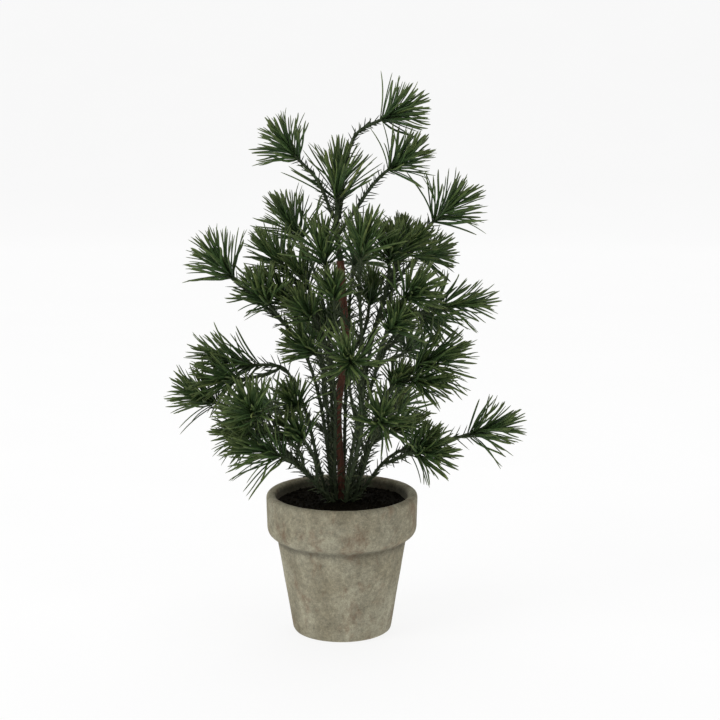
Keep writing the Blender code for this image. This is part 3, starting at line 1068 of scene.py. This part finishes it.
def neck_height():
    """The height of the crease under the rim band: the first place where the wall turns out."""
    outside = pot_section[: int(np.argmax(pot_section[:, 1]))]
    steps = np.diff(outside, axis=0)
    slopes = steps[:, 0] / np.maximum(np.linalg.norm(steps, axis=1), SAME_PLACE)
    low, high = (share * RIM_HEIGHT for share in NECK_SEARCH)
    searched = (outside[:-1, 1] > low) & (outside[:-1, 1] < high)
    first = int(np.flatnonzero(searched & (slopes > NECK_SLOPE))[0])
    return float(outside[first, 1])


print("crease at mm", round(neck_height() / MM, 1))

# %% [markdown]
# ### Turning the pot
# The pot has the same section all round, so turning the section about the axis gives the wall. A
# screw modifier could do it too, but here each point also gets its weathering and two numbers:
# one for the painted shade on the inner wall, the other for the painted shade in the crease under the rim
# band.

# %% Turn the pot
POT_SIDES = 260
FLAT_FOOT = 1.0 * MM
RIM_STEPS = 3
# how far the painted shade of the crease reaches up and down, in metres
CREASE_SHADE_REACH = 3.2 * MM


def build_pot():
    """The weathered pot; gives back how many points it has."""
    steps = np.gradient(pot_section, axis=0)
    normals = unit(np.stack([steps[:, 1], -steps[:, 0]], axis=1))
    turns = np.arange(POT_SIDES) * math.tau / POT_SIDES
    rim = int(np.argmax(pot_section[:, 1]))
    crease = neck_height()
    points, inside, crease_shades = [], [], []
    for number, ((radius, height), (out, up)) in enumerate(zip(pot_section, normals)):
        # painted shade on the inner wall, from a few steps below the rim
        inner = float(np.clip((number - rim - RIM_STEPS) / RIM_STEPS, 0, 1))
        # painted shade in the crease under the rim band, on the outside only
        crease_shadow = math.exp(-(((height - crease) / CREASE_SHADE_REACH) ** 2)) if number < rim else 0.0
        for turn in turns:
            place = Vector((radius * math.cos(turn), radius * math.sin(turn), height))
            way = Vector((out * math.cos(turn), out * math.sin(turn), up))
            proud = weather(place) if height > FLAT_FOOT else 0.0
            points.append(place + way * proud)
            inside.append(inner)
            crease_shades.append(crease_shadow)
    growth = Growth()
    faces = ring_faces(len(pot_section), POT_SIDES)
    growth.add(np.array(points), faces, np.array(inside), np.array(crease_shades))
    pot = growth.piece("cement_pot", CEMENT)
    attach(pot, "root")
    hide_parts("pot")
    return len(points)


print("pot points", build_pot())

# %% [markdown]
# ## Soil
# The soil is a loose dark bed that rises a little round the foot of the stems. A flat disc would
# look like paint, so its height comes from a formula: a mound, and lumps of two sizes.

# %% Surface of the soil
MOUND_RISE = 3.2 * MM
MOUND_REACH = 17 * MM
MOUND_SINK = 0.6 * MM
# how many lumps there are in a metre, at what depth of the noise they are cut, and how high they are
LUMPS = ((110, 0.0, 0.9 * MM), (330, 0.1, 0.45 * MM))
WALL_GAP = 0.2 * MM

soil_low, soil_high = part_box("soil_layer")
soil_radius = soil_high.x + WALL_GAP


def soil_height(x, y):
    """The height of the soil's surface: a mound in the middle, and lumps everywhere."""
    away = math.hypot(x, y)
    lumps = sum(noise.noise(Vector((x, y, depth)) * pace) * rise for pace, depth, rise in LUMPS)
    return soil_high.z - MOUND_SINK + MOUND_RISE * math.exp(-((away / MOUND_REACH) ** 2)) + lumps


print("soil in the middle at mm", round(soil_height(0, 0) / MM, 1))

# %% [markdown]
# ### One crumb
# A crumb is a rough little lump. A ball of few flat faces is enough for it, and it is made once
# and then pulled out of shape anew for each crumb.

# %% Form of a crumb


def crumb_form():
    """The corners and faces of a small round lump of radius one."""
    ball = bpy.data.meshes.new("crumb_form")
    shape = bmesh.new()
    bmesh.ops.create_icosphere(shape, subdivisions=1, radius=1)
    shape.to_mesh(ball)
    shape.free()
    corners = np.array([v.co for v in ball.vertices])
    sides = [tuple(face.vertices) for face in ball.polygons]
    bpy.data.meshes.remove(ball)
    return corners, sides


print("corners of a crumb", len(crumb_form()[0]))

# %% [markdown]
# ### Bed and crumbs
# Several hundred crumbs lie on the bed, half sunk in, most of them small. Crumbs made only by
# relief would have no edges of their own to catch the light. All of them are joined with the bed
# into one piece.

# %% Soil bed and crumbs
SOIL_SIDES = 150
SOIL_PACE = 1.2 * MM
BED_TONE = 0.25
CRUMB_COUNT = 620
CRUMB_SIZES = (0.7 * MM, 2.0 * MM)
# the higher this power, the more of the crumbs are small
SMALL_POWER = 2.5
CRUMB_SHAPE = (0.7, 1.2)
CRUMB_RISE = 0.25
CRUMB_MARGIN = 2 * MM
# the share of the bed, round its middle, that stays free of crumbs
BARE_SHARE = 0.02


def build_soil():
    """The soil bed with its crumbs; gives back how many points it has."""
    rng = dice("soil")
    growth = Growth()
    turns = np.arange(SOIL_SIDES) * math.tau / SOIL_SIDES
    radii = np.arange(soil_radius, SOIL_PACE, -SOIL_PACE)
    rings = [[(soil_radius * math.cos(t), soil_radius * math.sin(t), soil_low.z) for t in turns]]
    for radius in radii:
        ring = [(radius * math.cos(t), radius * math.sin(t)) for t in turns]
        rings.append([(x, y, soil_height(x, y)) for x, y in ring])
    points = [point for ring in rings for point in ring] + [(0, 0, soil_height(0, 0))]
    faces = ring_faces(len(rings), SOIL_SIDES, True)
    growth.add(np.array(points), faces, 0.0, BED_TONE)
    corners, sides = crumb_form()
    smallest, largest = CRUMB_SIZES
    for _ in range(CRUMB_COUNT):
        away = (soil_radius - CRUMB_MARGIN) * math.sqrt(rng.uniform(BARE_SHARE, 1))
        turn = rng.uniform(0, math.tau)
        x, y = away * math.cos(turn), away * math.sin(turn)
        size = smallest + (largest - smallest) * rng.uniform() ** SMALL_POWER
        lump = corners * rng.uniform(*CRUMB_SHAPE, (len(corners), 1)) * size * rng.uniform(*CRUMB_SHAPE, 3)
        centre = np.array((x, y, soil_height(x, y) + CRUMB_RISE * size))
        growth.add(lump + centre, sides, 0.0, rng.uniform())
    soil = growth.piece("soil_bed", SOIL, smooth=False)
    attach(soil, "root")
    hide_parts("soil_layer")
    return growth.count


print("soil points", build_soil())

# %% [markdown]
# ## Pieces that keep the model's shape
# The foam plug, the taped bundle and the steel core are simple forms inside the pot and the trunk.
# They could be dressed like the rest, but hardly anything of them is in sight, so they stay exactly
# as the model has them and only get their finish.

# %% Finish the inner pieces
for node, finish in (("foam_plug", FOAM), ("root_bundle", TAPE), ("trunk_wire", WIRE)):
    for place in frame["nodes"][node].material_slots:
        place.material = finish
    print(node, "is finished in", finish.name)

# %% [markdown]
# ## Size of the dressed tree
# The box of the dressed tree is written beside the model's box, to show that the dressing keeps to
# the real size.

# %% Sizes and finish
boxes = {"cad": cad_box, "visual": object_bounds()}
for name, (low, high) in boxes.items():
    print(name, "box in mm", [round(v / MM, 1) for v in (*low, *high)])
